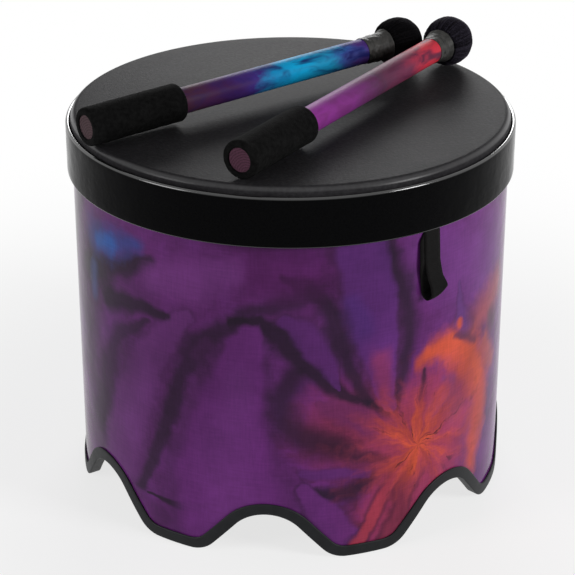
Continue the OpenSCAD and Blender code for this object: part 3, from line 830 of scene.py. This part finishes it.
def make_hoop():
    rim = HOOP_WALL / 2
    edge = LIP_EDGE_R
    inside = HOOP_R - HOOP_WALL
    lip_in = HOOP_R - LIP_WALL
    outline = arc((HOOP_R - rim, RIM_Z - rim), rim, 180, 0, 14)
    outline += between((HOOP_R, RIM_Z - rim), (HOOP_R, LIP_Z + edge), 8)[1:]
    outline += arc((HOOP_R - edge, LIP_Z + edge), edge, 0, -90, 6)
    outline += [(lip_in, LIP_Z), (lip_in, GASKET_Z), (inside, GASKET_Z)]
    piece = turned("gloss_hoop", outline, RING_SIDES)
    fit(piece, black_gloss_film(), "head", "hoop_gloss", "hoop")


def make_skin():
    shoulder = (SKIN_R - SHOULDER_R, SKIN_TOP - SHOULDER_R)
    flat = [SKIN_R * share for share in (0.0, 0.25, 0.5, 0.75, 0.9)]
    outline = [(r, SKIN_TOP) for r in flat] + arc(shoulder, SHOULDER_R, 90, 0, 14)
    outline += [(SKIN_R, SKIRT_Z), (SKIN_R - SKIN_T, SKIRT_Z)]
    outline += arc(shoulder, SHOULDER_R - SKIN_T, 0, 90, 8)
    outline += [(r, SKIN_TOP - SKIN_T) for r in reversed(flat)]
    piece = turned("drum_head", outline, RING_SIDES, closed=False)
    fit(piece, pebbled_skin(), "head", "drum_skin", "head_skin")


# Pull loop: one strip of ribbon, from a tail inside the lip, down, round the bend and back up

def loop_path():
    """Places along the ribbon's middle line: the distance from the drum's axis, and the height."""
    half = RIBBON_T / 2 + STRAND_GAP / 2
    down = Vector((math.sin(LOOP_LEAN), -math.cos(LOOP_LEAN)))
    out = Vector((math.cos(LOOP_LEAN), math.sin(LOOP_LEAN)))
    top = Vector((math.hypot(LOOP_PIVOT[0], LOOP_PIVOT[1]) / MM, LOOP_PIVOT[2] / MM))
    fork = top + LOOP_STEM * down
    bend = Vector((WRAP_R + LOOP_CLEAR + LOOP_BEND_R + RIBBON_T / 2, fork.y - LOOP_OPEN))
    run = fork - bend
    middle = math.degrees(math.atan2(run.y, run.x))
    side = math.degrees(math.acos(LOOP_BEND_R / run.length))
    path = [(top.x - half, TAIL_TOP), tuple(top - half * out), tuple(fork - half * out)]
    path += arc(bend, LOOP_BEND_R, middle + side, middle - side + 360, 28)
    path += [tuple(fork + half * out), tuple(top + half * out), (top.x + half, TAIL_TOP)]
    return path


def finely(path, step):
    """The same path with a point at least every step."""
    fine = []
    for a, b in zip(path, path[1:]):
        fine += between(a, b, max(1, round(math.dist(a, b) / step)))
    return fine + [path[-1]]


def relaxed(path, passes):
    """Rounds a path's corners, with its ends kept."""
    for _ in range(passes):
        path = [path[0]] + [((a[0] + 2 * b[0] + c[0]) / 4, (a[1] + 2 * b[1] + c[1]) / 4)
                            for a, b, c in zip(path, path[1:], path[2:])] + [path[-1]]
    return path


def make_ribbon():
    path = relaxed(finely(loop_path(), RIBBON_STEP), 6)
    piece = start_point("ribbon_loop", (-RIBBON_W / 2, -path[0][0], path[0][1]))
    for _ in range(RIBBON_STRIPS):
        draw_out((RIBBON_W / RIBBON_STRIPS, 0, 0))
    bpy.ops.mesh.select_all(action="SELECT")
    for near, far in zip(path, path[1:]):
        draw_out((0, near[0] - far[0], far[1] - near[1]))
    finish_mesh(piece)
    low = min(z for _, z in path)

    def settle(point):
        """The open loop bulges more at its right edge than at its left one, that edge folds higher up, and the
        front strand sways to the right."""
        share = point.x / (RIBBON_W / 2)
        up = point.z - low
        open_part = 1 - ease(up, 4, LOOP_OPEN + LOOP_BEND_R + 8)
        outer = ease(-point.y, WRAP_R + 5, WRAP_R + 10)
        fold_part = 1 - ease(up, 0, LOOP_OPEN * 0.8)
        sway = LOOP_SWAY * (1 - ease(up, 14, 36)) * (1 - 0.6 * fold_part) * outer
        lift = LOOP_TILT * ((1 + share) / 2) ** 2.5 * fold_part
        return Vector((point.x + sway, point.y - LOOP_TWIST * share * open_part * outer, point.z + lift))

    reshape(piece, settle)
    # Under the lip, the rear strand fans out to the left
    for point in piece.data.vertices:
        rear = ease(0.5 - point.index // (RIBBON_STRIPS + 1) / len(path), 0, 0.2)
        point.co.x -= LOOP_FAN * MM * rear * ease(LIP_Z - point.co.z / MM, 0, FAN_FALL)
    lay(piece, Matrix.Rotation(LOOP_ANGLE, 4, "Z"))
    apply_modifier(piece, "SOLIDIFY", thickness=RIBBON_T * MM, offset=0)
    fit(piece, grosgrain(), None, "black_ribbon", "loop_tails", "pull_loop")
    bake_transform(piece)


# Mallets

def mallet_place(side):
    """The matrix that takes +Z from the origin to a mallet's axis from its butt, found from its dowel's ends."""
    points = [v.co for v in frame["nodes"][side + "_dowel"].data.vertices]
    middle = sum(p.x for p in points) / len(points)
    ends = []
    for half in ([p for p in points if p.x < middle], [p for p in points if p.x >= middle]):
        low = Vector([min(p[i] for p in half) for i in range(3)])
        high = Vector([max(p[i] for p in half) for i in range(3)])
        ends.append((low + high) / 2)
    butt, head = ends
    return Matrix.Translation(butt) @ (head - butt).to_track_quat("Z", "Y").to_matrix().to_4x4()


def make_shaft(side, place, material):
    inside = DOWEL_R + GLUE
    outline = between((SHAFT_R, SHAFT_EDGE), (SHAFT_R, TAPE_FAR), 24) + [(SHAFT_R, TAPE_FAR), (inside, TAPE_FAR)]
    outline += [(inside, 0), (SHAFT_R - SHAFT_EDGE, 0)]
    piece = turned(side + "_shaft_film", outline, MALLET_SIDES)
    lay(piece, place)
    fit(piece, material, "mallet_" + side, "shaft_film", side + "_shaft_wrap")


def make_grip(side, place, material):
    bore = SHAFT_R + GLUE
    edge = GRIP_EDGE_R
    lip = GRIP_OVERHANG
    outline = [(bore, -GLUE), (GRIP_LIP_R, -GLUE)] + arc((GRIP_LIP_R + lip, 0), lip, 190, 270, 5)
    outline += arc((GRIP_R - edge, edge - lip), edge, -90, 0, 8)
    outline += between((GRIP_R, edge), (GRIP_R, GRIP_L - edge), 40)[1:]
    outline += arc((GRIP_R - edge, GRIP_L - edge), edge, 0, 90, 8) + [(bore, GRIP_L)]
    piece = turned(side + "_foam_grip", outline, MALLET_SIDES)

    def dent(point):
        """Foam is never quite straight: its side wanders by a fraction of a millimetre."""
        radius = math.hypot(point.x, point.y)
        if radius < GRIP_R - edge:
            return point
        sink = GRIP_DENT * (0.5 + 0.5 * noise.noise(Vector((point.x / 9, point.y / 9, point.z / 14 + len(side)))))
        return Vector((point.x * (1 - sink / radius), point.y * (1 - sink / radius), point.z))

    reshape(piece, dent)
    lay(piece, place)
    fit(piece, material, "mallet_" + side, "grip_foam", side + "_grip")


def make_head(side, place, material):
    inside = SHAFT_R + GLUE
    neck = inside + HEAD_CLOTH_T
    core = HEAD_CORE_R
    back = TAPE_FAR + GLUE
    outline = [(neck, TAPE_FAR - NECK_L), (neck, back)]
    for deep, _ in between((MALLET_L - back, 0), (0, 0), 34):
        share = deep / HEAD_R
        outline.append((HEAD_R * (1 - share ** HEAD_FULL) ** (1 / HEAD_FULL), MALLET_L - deep))
    outline += arc((0, MALLET_L), HEAD_R, 0, 90, 50)
    outline[-1] = (0, MALLET_L + HEAD_R)
    rise = math.degrees(math.acos(inside / core))
    outline += [(0, MALLET_L + core)] + arc((0, MALLET_L), core, 88, -rise, 16)
    outline += [(inside, TAPE_FAR - NECK_L), (neck, TAPE_FAR - NECK_L)]
    piece = turned(side + "_head_ball", outline, 3 * MALLET_SIDES, closed=False)

    def gather(point):
        """Fine folds run out from the tape and fade over the ball."""
        radius = math.hypot(point.x, point.y)
        out = math.hypot(radius, point.z - MALLET_L)
        if out < core + 1 or radius < neck + 1 and point.z < MALLET_L:
            return point
        angle = math.atan2(point.y, point.x)
        wander = noise.noise(Vector((point.x / 7, point.y / 7, point.z / 7 + 3 * len(side))))
        fold = 0.6 * math.sin(53 * angle + 3 * math.sin(7 * angle) + 2 * wander)
        fold += 0.4 * math.sin(86 * angle + 4 * math.sin(3 * angle) - 3 * wander)
        depth = mix(GATHER_DEEP, GATHER_FAINT, ease(point.z, MALLET_L - GATHER_FADE, MALLET_L + GATHER_FADE))
        sink = depth * (0.5 - 0.5 * fold) + HEAD_LUMP * (0.5 + 0.5 * wander)
        scale = 1 - sink / out
        return Vector((point.x * scale, point.y * scale, max(back, MALLET_L + (point.z - MALLET_L) * scale)))

    reshape(piece, gather)
    lay(piece, place)
    fit(piece, material, "mallet_" + side, "head_cloth", side + "_head_cover")


def make_tape(side, place, material):
    start = TAPE_FAR - TAPE_LENGTH[side]
    inside = SHAFT_R + GLUE
    thin = inside + TAPE_T
    flare = TAPE_FAR - TAPE_FLARE
    neck = inside + HEAD_CLOTH_T + GLUE
    outline = [(inside, start)] + between((thin, start), (TAPE_END_R, flare), 40)
    outline += [(mix(TAPE_END_R, TAPE_LIP_R, ease(z, flare, TAPE_FAR)), z)
                for _, z in between((0, flare), (0, TAPE_FAR - 0.3), 10)]
    outline += [(TAPE_LIP_R, TAPE_FAR - 0.2), (TAPE_LIP_R - 0.3, TAPE_FAR), (neck, TAPE_FAR)]
    outline += [(neck, TAPE_FAR - NECK_L - GLUE), (inside, TAPE_FAR - NECK_L - GLUE)]
    piece = turned(side + "_neck_wrap", outline, MALLET_SIDES)

    def wind(point):
        """Each turn of the tape ends in a small step, and the tape wrinkles where it is stretched."""
        radius = math.hypot(point.x, point.y)
        if radius < inside + 0.5:
            return point
        turns = (point.z - start) / TAPE_TURN + math.atan2(point.y, point.x) / FULL_TURN
        step = TAPE_STEP * (turns % 1)
        crinkle = TAPE_CRINKLE * noise.noise(Vector((point.x / 3, point.y / 3, point.z / 2.2)))
        scale = 1 - min(max(step + 0.15 + crinkle, 0), radius - inside - 0.1) / radius
        return Vector((point.x * scale, point.y * scale, point.z))

    reshape(piece, wind)
    lay(piece, place)
    fit(piece, material, "mallet_" + side, "neck_vinyl", side + "_neck_tape")


SHAFT_RUN = {
    "left": [(0.3, "#4e2c40"), (0.4, "#472356"), (0.5, "#453284"), (0.56, "#1f98d2"), (0.65, "#14b6ee"),
             (0.73, "#25a0d0"), (0.8, "#3f5eaa"), (0.87, "#50327e")],
    "right": [(0.3, "#963c9a"), (0.45, "#863a88"), (0.6, "#5a3852"), (0.72, "#783854"), (0.84, "#cc3c50"),
              (0.93, "#dc3a42")],
}
SHAFT_CREASE = {"left": ("#1d2266", 0.45), "right": ("#5c2a44", 0.5)}
# Both heads wear the same cloth: the left head's colours are darkened as painted shade, and the right head's are
# lightened as painted light, with more sheen
HEAD_CLOTH = {"left": ("#020202", "#100f11", 0.05), "right": ("#0a090c", "#2a2730", 0.14)}
DOWEL_STAIN = {"left": ("#5a484c", "#302629"), "right": ("#623e50", "#35232c")}


def make_mallets():
    foam = black_foam()
    tape = vinyl_tape()
    core = core_rubber()
    for side in ("left", "right"):
        place = mallet_place(side)
        film = printed_film(side + "_printed_film", place, SHAFT_RUN[side], *SHAFT_CREASE[side])
        make_shaft(side, place, film)
        make_grip(side, place, foam)
        make_head(side, place, black_jersey(side + "_brushed_jersey", place, *HEAD_CLOTH[side]))
        make_tape(side, place, tape)
        finish_node(side + "_dowel", stained_dowel(side + "_stained_dowel", place, *DOWEL_STAIN[side]))
        finish_node(side + "_head_core", core)


def finish_node(node, material):
    """Gives a CAD node, whose shape is right as it is, its finish."""
    piece = frame["nodes"][node]
    piece.data.materials.clear()
    piece.data.materials.append(material)


make_wrap()
make_trim()
make_hoop()
make_skin()
make_ribbon()
make_mallets()
finish_node("shell_tube", fibreboard())
finish_node("flesh_hoop", bent_ply())
finish_node("rim_gasket", gasket_foam())
finish_node("hoop_felt", pressed_felt())


# Studio: a pale floor, a white surround and soft lamps

FLOOR_SIZE = 12.0
FLOOR_WHITE = 0.75
SHADOW_R = 0.22
AMBIENT = 0.12
LAMP_AIM = Vector((0, 0, 0.16))

# Place seen from the camera's side (right, away, up) and size in metres, then power in watts
LAMPS = {
    "right_softbox": ((1.5, -0.9, 0.8), (0.5, 0.6), 20),
    "left_softbox": ((-1.5, -0.8, 0.65), (0.7, 0.9), 11),
    "overhead": ((0.1, 1.4, 0.75), (0.8, 0.4), 10),
}


def seen_white(add):
    """1 for rays from the camera and for those that a glossy or clear surface sends on."""
    rays = add("LightPath", {}).node.outputs
    seen = add("Math MAXIMUM", {0: rays["Is Camera Ray"], 1: rays["Is Glossy Ray"]})
    return add("Math MAXIMUM", {0: seen, 1: rays["Is Transmission Ray"]})


def make_studio():
    deselect_all()
    bpy.ops.mesh.primitive_plane_add(size=FLOOR_SIZE, location=(0, 0, -0.1 * MM))
    floor = bpy.context.object
    floor.name = "floor"
    material, add, place = new_material("pale_floor")
    paint = add("BsdfDiffuse", {"Color": srgb("#f2f2f2")})
    white = add("Emission", {})
    away = add("VectorMath LENGTH", {0: place}, out="Value")
    white_share = add("MapRange",
                      {"Value": away, "From Min": SHADOW_R, "From Max": 3 * SHADOW_R, "To Min": FLOOR_WHITE},
                      **SMOOTH)
    share = add("Math MULTIPLY", {0: seen_white(add), 1: white_share})
    shader = add("MixShader", {0: share, 1: paint, 2: white})
    below = add("NewGeometry", {}, out="Backfacing")
    clear = add("BsdfTransparent", {})
    shader = add("MixShader", {0: below, 1: shader, 2: clear})
    add("OutputMaterial", {"Surface": shader})
    floor.data.materials.append(material)

    world = bpy.data.worlds.new("studio")
    bpy.context.scene.world = world
    world.use_nodes = True
    world.node_tree.nodes.clear()
    add = partial(add_node, world.node_tree)
    strength = add("MapRange", {"Value": seen_white(add), "To Min": AMBIENT})
    light = add("Background", {"Color": srgb("#ffffff"), "Strength": strength})
    add("OutputWorld", {"Surface": light})

    turn = Matrix.Rotation(VIEW_TURN, 4, "Z")
    for name, (place, size, power) in LAMPS.items():
        data = bpy.data.lights.new(name, "AREA")
        data.shape = "RECTANGLE"
        data.size, data.size_y = size
        data.energy = power
        lamp = bpy.data.objects.new(name, data)
        bpy.context.scene.collection.objects.link(lamp)
        stand = turn @ Vector(place)
        facing = (LAMP_AIM - stand).to_track_quat("-Z", "Y")
        lamp.matrix_world = Matrix.Translation(stand) @ facing.to_matrix().to_4x4()


make_studio()
bpy.context.scene.view_settings.view_transform = "Standard"
